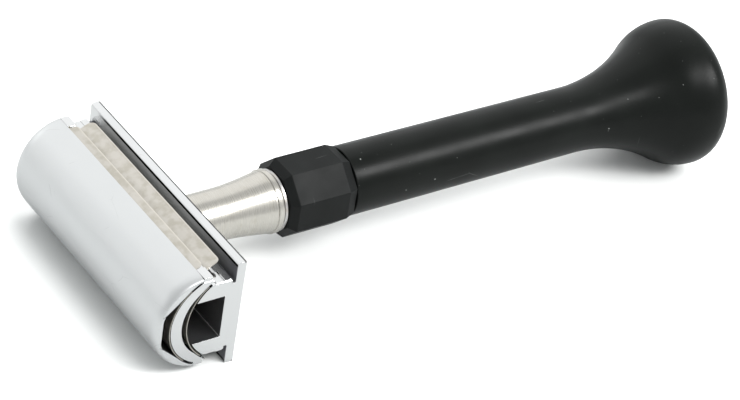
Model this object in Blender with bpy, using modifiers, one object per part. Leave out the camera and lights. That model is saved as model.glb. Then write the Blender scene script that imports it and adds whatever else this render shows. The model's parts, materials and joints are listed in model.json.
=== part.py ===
"""Twin-blade double-edge safety razor, lying on its side.

Sizes are in metres. Every part is laid out in the razor's own frame: x runs along the handle from the head
to the butt, with x = 0 on the rear face of the guard plate, y runs along the head, and z runs across it,
from one cutting edge to the other. The empty "razor" carries that frame. It tips it so that the guard plate
and the rim of the butt both touch the surface at z = 0, and puts the whole part's middle over the origin.
"""
import math

import bmesh
import bpy
from mathutils import Matrix

# Fits
SEAT_GAP = 0.00015          # between pieces that bear on each other
LOOSE_GAP = 0.0003          # round pieces that pass through others
WELD = 0.000001

# Blade: 43 x 22 x 0.1 mm, bent round the guard
HEAD_LENGTH = 0.0430
BLADE_HALF_WIDTH = 0.0110
BLADE_THICKNESS = 0.0001
EDGE_HALF_LENGTH = 0.01865
TAB_HALF_WIDTH = 0.0072
BEND_RADIUS = 0.0082
LOWER_BEND_X = -0.0007
UPPER_BEND_X = -0.00355
SLOT_HALF_WIDTH = 0.0010
SLOT_HALF_LENGTH = 0.0152

# Guard: back plate and two limbs with an open channel between them
PLATE_THICKNESS = 0.0015
PLATE_HALF_HEIGHT = 0.0092
PLATE_EDGE_RADIUS = 0.00045
PLATE_REAR_RADIUS = 0.00015
GROOVE_WIDTH = 0.0005       # between the limbs and the plate
GROOVE_FLOOR = 0.0058
LIMB_HALF_HEIGHT = 0.00633
CHANNEL_HALF_HEIGHT = 0.00374
CHANNEL_FLOOR_X = -0.00295
GUARD_ARC_RADIUS = BEND_RADIUS - BLADE_THICKNESS / 2 - 2 * SEAT_GAP
BOSS_RADIUS = 0.0034
BOSS_HEIGHT = 0.0005
END_CHAMFER = 0.00015

# Cap: half round, hollow underneath
CAP_CENTRE_X = -0.0064
CAP_DEPTH = 0.00765
CAP_HALF_HEIGHT = 0.00815
CAP_TIP_X = -0.0070
CAP_HOLLOW_X = -0.0130
CAP_HOLLOW_HALF_FLAT = 0.0027
CAP_SEAT_HALF_HEIGHT = 0.0056
CAP_END_RADIUS = 0.0006

# Spacer: crescent between the two blades
SPACER_TIP_HALF_HEIGHT = 0.0072
SPACER_HOLLOW_X = -0.00279
SPACER_HOLLOW_RADIUS = 0.00696
BLOCK_TOP = 0.00795
BLOCK_REAR_X = -0.0054

# Past the ends of the cutting edges, corner blocks fill the upper notches and shallow lugs stand in the lower ones
CORNER_INNER_Y = EDGE_HALF_LENGTH + LOOSE_GAP
LUG_FRONT_X = -0.0047
LUG_REAR_X = -0.0021
LUG_TOP = 0.00645
RIDGE_FRONT_X = -0.0033
RIDGE_TOP = 0.00660

# Stud and pins that hold the head together
STUD_RADIUS = 0.0024
STUD_FOOT_RADIUS = 0.0031
STUD_FOOT_FRONT_RADIUS = 0.0025
STUD_FOOT_REAR_X = -0.01205
STUD_END_X = 0.0075
STUD_POINT = 0.0005
PIN_RADIUS = 0.0013
PIN_Y = 0.0125
PIN_END_X = -0.0078
PIN_CHAMFER = 0.0003

# Ferrule: the bright neck that screws on the stud
NECK_RADIUS = 0.00408
NECK_STRAIGHT_END_X = 0.0085
NECK_FLARE_END_X = 0.0171
NECK_FLARE_RADIUS = 0.00492
RIM_RADIUS = 0.00505
FERRULE_END_X = 0.0181
STUD_BORE_END_X = 0.0095
ROD_BORE_START_X = 0.0122

# Washer, collar and rod
WASHER_RADIUS = 0.00488
WASHER_THICKNESS = 0.0005
COLLAR_START_X = FERRULE_END_X + WASHER_THICKNESS + 2 * SEAT_GAP
COLLAR_END_X = 0.0308
COLLAR_HALF_FLATS = 0.0059
COLLAR_FRONT_CHAMFER = (0.0012, 0.0010)     # along the handle, towards its axis
COLLAR_REAR_CHAMFER = (0.0009, 0.0008)
ROD_RADIUS = 0.0020
ROD_END_X = 0.0974

# Grip: straight tube with a trumpet-shaped butt
GRIP_FRONT_RADIUS = 0.00555
GRIP_RADIUS = 0.0054
GRIP_EDGE = 0.0003
FLARE_START_X = 0.0750
FLARE_RADIUS = 0.0300
FLARE_ANGLE = math.radians(34.0)
SHOULDER_RADIUS = 0.0095
BUTT_RIM_RADIUS = 0.0037

# Fixing in the butt
NUT_HALF_FLATS = 0.0035
NUT_THICKNESS = 0.0032
ROD_WASHER_RADIUS = 0.0044
ROD_WASHER_THICKNESS = 0.0008
POCKET_RADIUS = 0.0048
POCKET_FLOOR_X = 0.0926
PLUG_RADIUS = 0.0060
PLUG_THICKNESS = 0.0022
PLUG_EDGE = 0.0003

# Derived places
SHOULDER_X = FLARE_START_X + FLARE_RADIUS * math.sin(FLARE_ANGLE)
BUTT_WIDEST_X = SHOULDER_X + SHOULDER_RADIUS * math.sin(FLARE_ANGLE)
BUTT_RADIUS = GRIP_RADIUS + (FLARE_RADIUS + SHOULDER_RADIUS) * (1 - math.cos(FLARE_ANGLE))
BUTT_END_X = BUTT_WIDEST_X + BUTT_RIM_RADIUS
HALF_LENGTH = HEAD_LENGTH / 2

COLOURS = {
    "satin_chrome": ((0.63, 0.64, 0.65), 1.0, 0.34),
    "polished_chrome": ((0.78, 0.78, 0.80), 1.0, 0.10),
    "blade_steel": ((0.55, 0.53, 0.49), 1.0, 0.38),
    "turned_steel": ((0.60, 0.58, 0.55), 1.0, 0.30),
    "plain_steel": ((0.50, 0.50, 0.50), 1.0, 0.35),
    "black_resin": ((0.022, 0.023, 0.022), 0.0, 0.42),
    "black_collar": ((0.014, 0.014, 0.015), 0.0, 0.55),
    "brass": ((0.72, 0.53, 0.25), 1.0, 0.30),
}


def clear_scene():
    for obj in list(bpy.data.objects):
        bpy.data.objects.remove(obj, do_unlink=True)


def new_collection(name):
    collection = bpy.data.collections.new(name)
    bpy.context.scene.collection.children.link(collection)
    return collection


def material(name):
    colour, metallic, roughness = COLOURS[name]
    found = bpy.data.materials.get(name)
    if found:
        return found
    made = bpy.data.materials.new(name)
    made.use_nodes = True
    shader = made.node_tree.nodes["Principled BSDF"]
    shader.inputs["Base Color"].default_value = (*colour, 1.0)
    shader.inputs["Metallic"].default_value = metallic
    shader.inputs["Roughness"].default_value = roughness
    return made


def resting_tilt():
    """Angle that lets the guard plate's edge and the butt's rim touch one level surface."""
    rise = BUTT_RIM_RADIUS - PLATE_EDGE_RADIUS
    run = BUTT_WIDEST_X + PLATE_THICKNESS - PLATE_EDGE_RADIUS
    drop = (PLATE_HALF_HEIGHT - PLATE_EDGE_RADIUS) - (BUTT_RADIUS - BUTT_RIM_RADIUS)
    return math.asin(rise / math.hypot(run, drop)) - math.atan2(drop, run)


def razor_frame():
    """Empty that carries the razor's own frame, tipped to rest and centred over the origin."""
    tilt = resting_tilt()
    cos, sin = math.cos(tilt), math.sin(tilt)
    butt_far = BUTT_WIDEST_X * cos + (BUTT_RADIUS - BUTT_RIM_RADIUS) * sin + BUTT_RIM_RADIUS
    cap_far = CAP_CENTRE_X * cos - math.hypot(CAP_DEPTH * cos, CAP_HALF_HEIGHT * sin)
    butt_low = BUTT_WIDEST_X * sin - (BUTT_RADIUS - BUTT_RIM_RADIUS) * cos - BUTT_RIM_RADIUS
    empty = bpy.data.objects.new("razor", None)
    empty.rotation_euler = (0.0, -tilt, 0.0)
    empty.location = (-(butt_far + cap_far) / 2, 0.0, -butt_low)
    bpy.context.scene.collection.objects.link(empty)
    return empty


class Bench:
    """Where finished parts and cutters go."""

    def __init__(self):
        self.parts = new_collection("safety_razor")
        self.cutters = new_collection("cutters")
        self.frame = razor_frame()

    def place(self, obj, finish):
        obj.parent = self.frame
        if finish is None:
            obj.hide_render = True
            obj.display_type = "WIRE"
            self.cutters.objects.link(obj)
        else:
            obj.data.materials.append(material(finish))
            self.parts.objects.link(obj)
        return obj


def mesh_object(name, bm, bench, finish, location=(0.0, 0.0, 0.0), rotation=(0.0, 0.0, 0.0)):
    mesh = bpy.data.meshes.new(name)
    bm.to_mesh(mesh)
    bm.free()
    obj = bpy.data.objects.new(name, mesh)
    obj.location = location
    obj.rotation_euler = rotation
    return bench.place(obj, finish)


def smooth(obj, angle=30.0):
    obj.data.shade_smooth()
    obj.data.set_sharp_from_angle(angle=math.radians(angle))


def arc(centre_x, radius_x, start, end, steps, radius_z=None):
    """Points on an arc about (centre_x, 0) in the x-z plane, at angles from the -x direction towards +z."""
    radius_z = radius_x if radius_z is None else radius_z
    turns = [start + (end - start) * i / steps for i in range(steps + 1)]
    return [(centre_x - radius_x * math.cos(a), radius_z * math.sin(a)) for a in turns]


def corner(centre_x, centre_z, radius, start, steps=4):
    """Quarter-round corner about (centre_x, centre_z), starting at an angle from +x towards +z."""
    angles = [start + math.pi / 2 * i / steps for i in range(steps + 1)]
    return [(centre_x + radius * math.cos(a), centre_z + radius * math.sin(a)) for a in angles]


def height_angle(z, radius):
    """Angle at which an arc of this radius reaches the height z."""
    return math.asin(z / radius)


def bar(name, outline, half_length, bench, finish, edge=0.0):
    """A flat outline in x-z, drawn out along y. edge rounds the rims of its two end faces."""
    curve = bpy.data.curves.new(name, "CURVE")
    curve.dimensions = "2D"
    curve.fill_mode = "BOTH"
    curve.extrude = half_length - edge
    curve.bevel_depth = edge
    curve.bevel_resolution = 1
    curve.offset = -edge
    spline = curve.splines.new("POLY")
    spline.points.add(len(outline) - 1)
    for point, (x, z) in zip(spline.points, outline):
        point.co = (x, z, 0.0, 1.0)
    spline.use_cyclic_u = True
    drawn = bpy.data.objects.new(name + "_outline", curve)
    bpy.context.scene.collection.objects.link(drawn)
    mesh = bpy.data.meshes.new_from_object(drawn.evaluated_get(bpy.context.evaluated_depsgraph_get()))
    bpy.data.objects.remove(drawn, do_unlink=True)
    bm = bmesh.new()
    bm.from_mesh(mesh)
    bpy.data.meshes.remove(mesh)
    bmesh.ops.remove_doubles(bm, verts=bm.verts, dist=WELD)
    bmesh.ops.rotate(bm, verts=bm.verts, cent=(0, 0, 0), matrix=Matrix.Rotation(math.pi / 2, 3, "X"))
    bmesh.ops.recalc_face_normals(bm, faces=bm.faces)
    return mesh_object(name, bm, bench, finish)


def box(name, low, high, bench, finish=None):
    bm = bmesh.new()
    bmesh.ops.create_cube(bm, size=1.0)
    size = [h - l for l, h in zip(low, high)]
    middle = [(h + l) / 2 for l, h in zip(low, high)]
    bmesh.ops.scale(bm, verts=bm.verts, vec=size)
    return mesh_object(name, bm, bench, finish, location=middle)


def drill(name, radius, start_x, end_x, bench, y=0.0, segments=32):
    """Round cutter along the handle's axis, or beside it at y."""
    bm = bmesh.new()
    bmesh.ops.create_cone(
        bm, cap_ends=True, segments=segments, radius1=radius, radius2=radius, depth=end_x - start_x
    )
    place = ((start_x + end_x) / 2, y, 0.0)
    return mesh_object(name, bm, bench, None, location=place, rotation=(0.0, math.pi / 2, 0.0))


def turned(name, profile, bench, finish, steps=48, origin_x=0.0, y=0.0, phase=0.0):
    """A profile of (x, radius) points, from the butt end to the head end, spun round the handle's axis.

    The object's own Z lies along the handle, and its origin sits on the axis at origin_x. phase starts the
    sweep at another angle, so that a few-sided piece has its flats where they belong.
    """
    mesh = bpy.data.meshes.new(name)
    points = [(radius, 0.0, x - origin_x) for x, radius in profile]
    closed = profile[0][1] > 0 or profile[-1][1] > 0
    edges = [(i, i + 1) for i in range(len(points) - 1)]
    if closed:
        edges.append((len(points) - 1, 0))
    mesh.from_pydata(points, edges, [])
    obj = bpy.data.objects.new(name, mesh)
    obj.location = (origin_x, y, 0.0)
    obj.rotation_euler = (0.0, math.pi / 2, 0.0)
    bench.place(obj, finish)
    screw = obj.modifiers.new("turn", "SCREW")
    screw.steps = steps
    screw.render_steps = steps
    screw.use_merge_vertices = True
    screw.merge_threshold = WELD
    screw.use_smooth_shade = steps > 8
    mesh.transform(Matrix.Rotation(phase, 4, "Z"))
    return obj


def cut(obj, cutters, operation="DIFFERENCE"):
    for cutter in cutters:
        boolean = obj.modifiers.new(cutter.name, "BOOLEAN")
        boolean.operation = operation
        boolean.solver = "EXACT"
        boolean.object = cutter


def both_sides(name, low, high, bench):
    """Four like boxes, one at each corner of the head, from the one at +y and +z."""
    made = []
    for end, sy in (("near", -1), ("far", 1)):
        for side, sz in (("lower", -1), ("upper", 1)):
            ys = sorted((low[1] * sy, high[1] * sy))
            zs = sorted((low[2] * sz, high[2] * sz))
            corner_box = box(f"{name}_{end}_{side}", (low[0], ys[0], zs[0]), (high[0], ys[1], zs[1]), bench)
            made.append(corner_box)
    return made


def guard_outline():
    """Back plate with rounded edges, and two limbs whose front faces carry the lower blade.

    A narrow groove parts each limb from the plate.
    """
    front = -PLATE_THICKNESS
    soft, crisp = PLATE_EDGE_RADIUS, PLATE_REAR_RADIUS
    upper = corner(-crisp, PLATE_HALF_HEIGHT - crisp, crisp, 0.0)
    upper += corner(front + soft, PLATE_HALF_HEIGHT - soft, soft, math.pi / 2)
    groove = [(front, GROOVE_FLOOR), (front - GROOVE_WIDTH, GROOVE_FLOOR)]
    limb = arc(
        LOWER_BEND_X,
        GUARD_ARC_RADIUS,
        height_angle(LIMB_HALF_HEIGHT, GUARD_ARC_RADIUS),
        height_angle(CHANNEL_HALF_HEIGHT, GUARD_ARC_RADIUS),
        6,
    )
    top = [(front - GROOVE_WIDTH, LIMB_HALF_HEIGHT)]
    half = upper + groove + top + limb + [(CHANNEL_FLOOR_X, CHANNEL_HALF_HEIGHT)]
    return half + [(x, -z) for x, z in reversed(half)]


def make_guard(bench):
    guard = bar("guard_body", guard_outline(), HALF_LENGTH, bench, "polished_chrome", END_CHAMFER)
    boss = drill("guard_boss", BOSS_RADIUS, CHANNEL_FLOOR_X - BOSS_HEIGHT, -PLATE_THICKNESS, bench)
    root = LIMB_HALF_HEIGHT - END_CHAMFER
    end = HALF_LENGTH - END_CHAMFER
    lugs = both_sides("guard_lug", (LUG_FRONT_X, CORNER_INNER_Y, root), (LUG_REAR_X, end, LUG_TOP), bench)
    ridges = both_sides(
        "guard_ridge", (RIDGE_FRONT_X, CORNER_INNER_Y, root), (LUG_REAR_X, end, RIDGE_TOP), bench
    )
    cut(guard, [boss] + lugs + ridges, "UNION")
    hole = drill("guard_hole", STUD_RADIUS + LOOSE_GAP, CHANNEL_FLOOR_X - 0.001, 0.001, bench)
    cut(guard, [hole])
    smooth(guard)


def cap_hollow_outline():
    """Hollow under the cap: a flat floor, slanted walls, then the seat that follows the upper blade."""
    radius = BEND_RADIUS + BLADE_THICKNESS / 2 + SEAT_GAP
    past = -0.0040
    outer = height_angle(CAP_HALF_HEIGHT - 0.0006, radius)
    seat = arc(UPPER_BEND_X, radius, outer, height_angle(CAP_SEAT_HALF_HEIGHT, radius), 6)
    half = [(past, seat[0][1])] + seat + [(CAP_HOLLOW_X, CAP_HOLLOW_HALF_FLAT)]
    return half + [(x, -z) for x, z in reversed(half)]


def make_cap(bench):
    tip = math.acos((CAP_CENTRE_X - CAP_TIP_X) / CAP_DEPTH)
    outline = arc(CAP_CENTRE_X, CAP_DEPTH, tip, -tip, 36, CAP_HALF_HEIGHT)
    cap = bar("cap", outline, HALF_LENGTH, bench, "satin_chrome", CAP_END_RADIUS)
    cut(cap, [bar("cap_hollow", cap_hollow_outline(), HEAD_LENGTH, bench, None)])
    smooth(cap)


def make_blade(name, bend_x, bench):
    """A flat double-edge blade bent to an arc about (bend_x, 0), with its corner notches and long slot."""
    reach = BLADE_HALF_WIDTH / BEND_RADIUS
    outer = arc(bend_x, BEND_RADIUS + BLADE_THICKNESS / 2, reach, -reach, 28)
    inner = arc(bend_x, BEND_RADIUS - BLADE_THICKNESS / 2, -reach, reach, 28)
    blade = bar(name, outer + inner, HALF_LENGTH, bench, "blade_steel")
    notch_z = BEND_RADIUS * math.sin(TAB_HALF_WIDTH / BEND_RADIUS)
    front, rear = bend_x - BEND_RADIUS - 0.001, bend_x
    notches = both_sides(
        name + "_notch", (front, EDGE_HALF_LENGTH, notch_z), (rear, HEAD_LENGTH, 0.010), bench
    )
    slot = box(
        name + "_slot",
        (front, -SLOT_HALF_LENGTH, -SLOT_HALF_WIDTH),
        (rear, SLOT_HALF_LENGTH, SLOT_HALF_WIDTH),
        bench,
    )
    holes = [drill(name + "_hole", STUD_RADIUS + LOOSE_GAP, front, rear, bench)]
    for end, y in (("near", -PIN_Y), ("far", PIN_Y)):
        holes.append(drill(f"{name}_hole_{end}", PIN_RADIUS + LOOSE_GAP, front, rear, bench, y))
    cut(blade, notches + [slot] + holes)
    smooth(blade)


def spacer_outline():
    """Crescent: its front follows the upper blade, its hollow rear meets the lower blade near the tips."""
    front_radius = BEND_RADIUS - BLADE_THICKNESS / 2 - SEAT_GAP
    rear_radius = BEND_RADIUS + BLADE_THICKNESS / 2 + SEAT_GAP
    tip = SPACER_TIP_HALF_HEIGHT
    front_turn = height_angle(tip, front_radius)
    front = arc(UPPER_BEND_X, front_radius, front_turn, -front_turn, 28)
    # the hollow's arc and the seat's arc cross where both are the same distance from their centres
    apart = LOWER_BEND_X - SPACER_HOLLOW_X
    along = (rear_radius**2 - SPACER_HOLLOW_RADIUS**2 + apart**2) / (2 * apart)
    meet_z = math.sqrt(rear_radius**2 - along**2)
    meet = height_angle(meet_z, rear_radius)
    hollow_turn = height_angle(meet_z, SPACER_HOLLOW_RADIUS)
    seat = arc(LOWER_BEND_X, rear_radius, -height_angle(tip, rear_radius), -meet, 5)
    hollow = arc(SPACER_HOLLOW_X, SPACER_HOLLOW_RADIUS, -hollow_turn, hollow_turn, 20)
    return front + seat[:-1] + hollow + [(x, -z) for x, z in reversed(seat[:-1])]


def make_spacer(bench):
    spacer = bar("blade_spacer", spacer_outline(), HALF_LENGTH, bench, "polished_chrome", END_CHAMFER)
    end = HALF_LENGTH - END_CHAMFER
    front_x = CAP_TIP_X + SEAT_GAP
    blocks = both_sides("spacer_block", (front_x, CORNER_INNER_Y, 0.0068), (BLOCK_REAR_X, end, BLOCK_TOP), bench)
    cut(spacer, blocks, "UNION")
    front, rear = UPPER_BEND_X - BEND_RADIUS, LOWER_BEND_X
    holes = [drill("spacer_hole", STUD_RADIUS + LOOSE_GAP, front, rear, bench)]
    for side, y in (("near", -PIN_Y), ("far", PIN_Y)):
        holes.append(drill("spacer_hole_" + side, PIN_RADIUS + LOOSE_GAP, front, rear, bench, y))
    cut(spacer, holes)
    smooth(spacer)


def make_stud(bench):
    """Threaded stud on a round, tapered foot, brazed to the floor of the cap's hollow."""
    foot_x = CAP_HOLLOW_X + SEAT_GAP
    profile = [
        (STUD_END_X, 0.0),
        (STUD_END_X, STUD_RADIUS - STUD_POINT),
        (STUD_END_X - STUD_POINT, STUD_RADIUS),
        (STUD_FOOT_REAR_X, STUD_RADIUS),
        (STUD_FOOT_REAR_X, STUD_FOOT_RADIUS),
        (foot_x, STUD_FOOT_FRONT_RADIUS),
        (foot_x, 0.0),
    ]
    turned("cap_stud", profile, bench, "plain_steel", steps=32, origin_x=foot_x)


def make_pins(bench):
    """Two plain pins beside the stud, which keep the blades and the spacer square to the cap."""
    start = CAP_HOLLOW_X + SEAT_GAP
    profile = [
        (PIN_END_X, 0.0),
        (PIN_END_X, PIN_RADIUS - PIN_CHAMFER),
        (PIN_END_X - PIN_CHAMFER, PIN_RADIUS),
        (start, PIN_RADIUS),
        (start, 0.0),
    ]
    for side, y in (("near", -PIN_Y), ("far", PIN_Y)):
        turned("cap_pin_" + side, profile, bench, "plain_steel", steps=24, origin_x=start, y=y)


def neck_radius(x):
    """Straight neck that swells along a quarter sine wave towards the rim."""
    run = (x - NECK_STRAIGHT_END_X) / (NECK_FLARE_END_X - NECK_STRAIGHT_END_X)
    swell = 1 - math.cos(math.pi / 2 * min(max(run, 0.0), 1.0))
    return NECK_RADIUS + (NECK_FLARE_RADIUS - NECK_RADIUS) * swell


def make_ferrule(bench):
    """Bright turned neck: tapped for the stud at the head end and for the rod at the other."""
    flare = [NECK_FLARE_END_X + (NECK_STRAIGHT_END_X - NECK_FLARE_END_X) * i / 8 for i in range(9)]
    profile = [
        (ROD_BORE_START_X, 0.0),
        (ROD_BORE_START_X, ROD_RADIUS + LOOSE_GAP),
        (FERRULE_END_X, ROD_RADIUS + LOOSE_GAP),
        (FERRULE_END_X, RIM_RADIUS - 0.0001),
        (FERRULE_END_X - 0.0001, RIM_RADIUS),
        (NECK_FLARE_END_X + 0.0001, RIM_RADIUS),
    ]
    profile += [(x, neck_radius(x)) for x in flare]
    profile += [
        (SEAT_GAP + 0.0002, NECK_RADIUS),
        (SEAT_GAP, NECK_RADIUS - 0.0002),
        (SEAT_GAP, STUD_RADIUS + LOOSE_GAP),
        (STUD_BORE_END_X, STUD_RADIUS + LOOSE_GAP),
        (STUD_BORE_END_X, 0.0),
    ]
    turned("ferrule", profile, bench, "turned_steel", steps=48)


def ring(name, start_x, end_x, outer, inner, bench, finish, steps=48):
    profile = [(end_x, inner), (end_x, outer), (start_x, outer), (start_x, inner)]
    turned(name, profile, bench, finish, steps=steps, origin_x=start_x)


def make_collar(bench):
    """Eight-sided black collar with a chamfer on every flat at each end, and a round bore for the rod."""
    corners = COLLAR_HALF_FLATS / math.cos(math.pi / 8)
    front_run, front_drop = COLLAR_FRONT_CHAMFER
    rear_run, rear_drop = COLLAR_REAR_CHAMFER
    profile = [
        (COLLAR_END_X, 0.0),
        (COLLAR_END_X, corners - rear_drop),
        (COLLAR_END_X - rear_run, corners),
        (COLLAR_START_X + front_run, corners),
        (COLLAR_START_X, corners - front_drop),
        (COLLAR_START_X, 0.0),
    ]
    collar = turned("collar", profile, bench, "black_collar", steps=8, phase=math.pi / 8)
    margin = 0.001
    bore = drill(
        "collar_bore", ROD_RADIUS + LOOSE_GAP, COLLAR_START_X - margin, COLLAR_END_X + margin, bench
    )
    cut(collar, [bore])


def grip_outside():
    """(x, radius) from the butt's flat end to the front edge."""
    def sweep(centre_x, centre_r, radius, start, end, steps):
        angles = [start + (end - start) * i / steps for i in range(steps + 1)]
        return [(centre_x + radius * math.sin(a), centre_r + radius * math.cos(a)) for a in angles]

    rim_r = BUTT_RADIUS - BUTT_RIM_RADIUS
    rim = sweep(BUTT_WIDEST_X, rim_r, BUTT_RIM_RADIUS, math.pi / 2, 0.0, 10)
    shoulder_r = BUTT_RADIUS - SHOULDER_RADIUS
    shoulder = sweep(BUTT_WIDEST_X, shoulder_r, SHOULDER_RADIUS, 0.0, -FLARE_ANGLE, 6)
    flare = sweep(FLARE_START_X, GRIP_RADIUS + FLARE_RADIUS, -FLARE_RADIUS, -FLARE_ANGLE, 0.0, 14)
    front = COLLAR_END_X + SEAT_GAP
    edge = [(front + GRIP_EDGE, GRIP_FRONT_RADIUS), (front, GRIP_FRONT_RADIUS - GRIP_EDGE)]
    return rim + shoulder[1:] + flare[1:] + edge


def make_grip(bench):
    front = COLLAR_END_X + SEAT_GAP
    bore = ROD_RADIUS + LOOSE_GAP
    seat = PLUG_RADIUS + SEAT_GAP
    plug_floor = BUTT_END_X - PLUG_THICKNESS - SEAT_GAP
    inside = [
        (front, bore),
        (POCKET_FLOOR_X, bore),
        (POCKET_FLOOR_X, POCKET_RADIUS),
        (plug_floor, POCKET_RADIUS),
        (plug_floor, seat),
        (BUTT_END_X, seat),
    ]
    turned("grip", grip_outside() + inside, bench, "black_resin", steps=56, origin_x=front)


def make_rod_fixing(bench):
    """Rod through the collar and grip, with a washer and a hexagon nut in the butt's pocket."""
    rod_start = ROD_BORE_START_X + LOOSE_GAP
    rod = [(ROD_END_X, 0.0), (ROD_END_X, ROD_RADIUS), (rod_start, ROD_RADIUS), (rod_start, 0.0)]
    turned("tie_rod", rod, bench, "plain_steel", steps=24, origin_x=rod_start)
    bore = ROD_RADIUS + LOOSE_GAP
    washer_x = POCKET_FLOOR_X + SEAT_GAP
    washer_end = washer_x + ROD_WASHER_THICKNESS
    ring("rod_washer", washer_x, washer_end, ROD_WASHER_RADIUS, bore, bench, "brass", 32)
    nut_x = washer_end + SEAT_GAP
    corners = NUT_HALF_FLATS / math.cos(math.pi / 6)
    profile = [(nut_x + NUT_THICKNESS, 0.0), (nut_x + NUT_THICKNESS, corners), (nut_x, corners), (nut_x, 0.0)]
    nut = turned("rod_nut", profile, bench, "brass", steps=6, origin_x=nut_x)
    cut(nut, [drill("nut_bore", bore, nut_x - 0.001, nut_x + NUT_THICKNESS + 0.001, bench)])


def make_plug(bench):
    """Black disc that closes the pocket, flush with the butt's flat end."""
    start = BUTT_END_X - PLUG_THICKNESS
    profile = [
        (BUTT_END_X, 0.0),
        (BUTT_END_X, PLUG_RADIUS - PLUG_EDGE),
        (BUTT_END_X - PLUG_EDGE, PLUG_RADIUS),
        (start, PLUG_RADIUS),
        (start, 0.0),
    ]
    turned("butt_plug", profile, bench, "black_resin", steps=48, origin_x=start)


def make_neck_washer(bench):
    start = FERRULE_END_X + SEAT_GAP
    ring("neck_washer", start, start + WASHER_THICKNESS, WASHER_RADIUS, ROD_RADIUS + LOOSE_GAP, bench, "plain_steel")


clear_scene()
bench = Bench()
make_cap(bench)
make_stud(bench)
make_pins(bench)
make_blade("upper_blade", UPPER_BEND_X, bench)
make_spacer(bench)
make_blade("lower_blade", LOWER_BEND_X, bench)
make_guard(bench)
make_ferrule(bench)
make_neck_washer(bench)
make_collar(bench)
make_grip(bench)
make_rod_fixing(bench)
make_plug(bench)
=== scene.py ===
import json
import math

import bmesh
import bpy
import numpy as np
from mathutils import Matrix


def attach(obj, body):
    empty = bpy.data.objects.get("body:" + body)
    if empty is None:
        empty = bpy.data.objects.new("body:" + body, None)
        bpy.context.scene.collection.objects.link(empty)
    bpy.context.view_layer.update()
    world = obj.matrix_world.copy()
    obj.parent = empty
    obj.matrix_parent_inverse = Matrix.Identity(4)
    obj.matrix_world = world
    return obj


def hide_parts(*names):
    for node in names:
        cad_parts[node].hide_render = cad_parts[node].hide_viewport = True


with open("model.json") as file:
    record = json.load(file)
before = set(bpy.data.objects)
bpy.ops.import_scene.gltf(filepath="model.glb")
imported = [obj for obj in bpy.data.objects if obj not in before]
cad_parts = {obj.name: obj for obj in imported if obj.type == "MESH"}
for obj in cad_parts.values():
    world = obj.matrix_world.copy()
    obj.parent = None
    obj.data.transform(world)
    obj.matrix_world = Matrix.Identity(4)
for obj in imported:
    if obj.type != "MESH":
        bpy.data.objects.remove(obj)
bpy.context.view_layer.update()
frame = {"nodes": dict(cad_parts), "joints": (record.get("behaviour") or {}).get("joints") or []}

# ---- The razor's own frame ------------------------------------------------------------------------------
# The razor lies on the lower edge of its guard plate and on the rim of its butt, so the handle rises towards
# the butt. x runs along the handle from the rear face of the guard plate, y along the head, and z from one
# cutting edge to the other, all in millimetres. The joint that turns the handle says where that axis is.
handle_joint = next(j for j in frame["joints"] if j["name"] == "handle_turn")
ORIGIN = np.array(handle_joint["pos_m"])
ALONG = np.array(handle_joint["axis"]) / np.linalg.norm(handle_joint["axis"])
SIDE = np.array((0.0, 1.0, 0.0))
ACROSS = np.cross(ALONG, SIDE)
AXES = np.stack([ALONG, SIDE, ACROSS], axis=1)
TILT = math.atan2(ALONG[2], ALONG[0])
MM = 0.001


def to_row(points):
    """Points (x, y, z) in the razor's frame, in mm, turned and moved into the row's frame, in metres."""
    p = np.asarray(points, float) * MM
    return ORIGIN + p[..., :1] * ALONG + p[..., 1:2] * SIDE + p[..., 2:3] * ACROSS


def own_points(mesh):
    """A mesh's vertices in the razor's frame, in mm."""
    flat = np.empty(len(mesh.vertices) * 3)
    mesh.vertices.foreach_get("co", flat)
    return (flat.reshape(-1, 3) - ORIGIN) @ AXES / MM


def span(node):
    """Lowest and highest corner of a CAD node in the razor's frame, in mm."""
    corners = own_points(frame["nodes"][node].data)
    return corners.min(axis=0), corners.max(axis=0)


# ---- Camera, floor and lights ---------------------------------------------------------------------------
# A long lens looks down on the razor from its head end. It lies on a white sweep, under large soft boxes
# that stand behind it, so its shadows fall forwards.
scene = bpy.context.scene
scene.view_settings.view_transform = "Standard"

lens = bpy.data.cameras.new("camera")
lens.lens = 152.52
lens.sensor_width = 36.0
camera = bpy.data.objects.new("camera", lens)
camera.location = (-0.26522, -0.30900, 0.28191)
camera.rotation_euler = [math.radians(angle) for angle in (54.991, -9.487, -33.462)]
scene.collection.objects.link(camera)
scene.camera = camera

FLOOR_REACH = 3.0
paper_mesh = bpy.data.meshes.new("white_sweep")
corner_signs = np.array(((-1, -1, 0), (1, -1, 0), (1, 1, 0), (-1, 1, 0)))
paper_mesh.from_pydata((corner_signs * FLOOR_REACH).tolist(), [], [(0, 1, 2, 3)])
white_sweep = bpy.data.objects.new("white_sweep", paper_mesh)
scene.collection.objects.link(white_sweep)
paper = bpy.data.materials.new("white_paper")
paper.use_nodes = True
paper_shader = paper.node_tree.nodes["Principled BSDF"]
paper_shader.inputs["Roughness"].default_value = 0.9
# the metal mirrors a slightly greyer sheet than the one that is seen, so that it does not burn out
paper_tone = paper.node_tree.nodes.new("ShaderNodeMix")
paper_tone.data_type = "RGBA"
paper_tone.inputs[6].default_value = (0.88, 0.89, 0.88, 1.0)
paper_tone.inputs[7].default_value = (0.54, 0.55, 0.55, 1.0)
light_path = paper.node_tree.nodes.new("ShaderNodeLightPath")
paper.node_tree.links.new(light_path.outputs["Is Glossy Ray"], paper_tone.inputs[0])
paper.node_tree.links.new(paper_tone.outputs[2], paper_shader.inputs["Base Color"])
paper_mesh.materials.append(paper)


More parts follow.
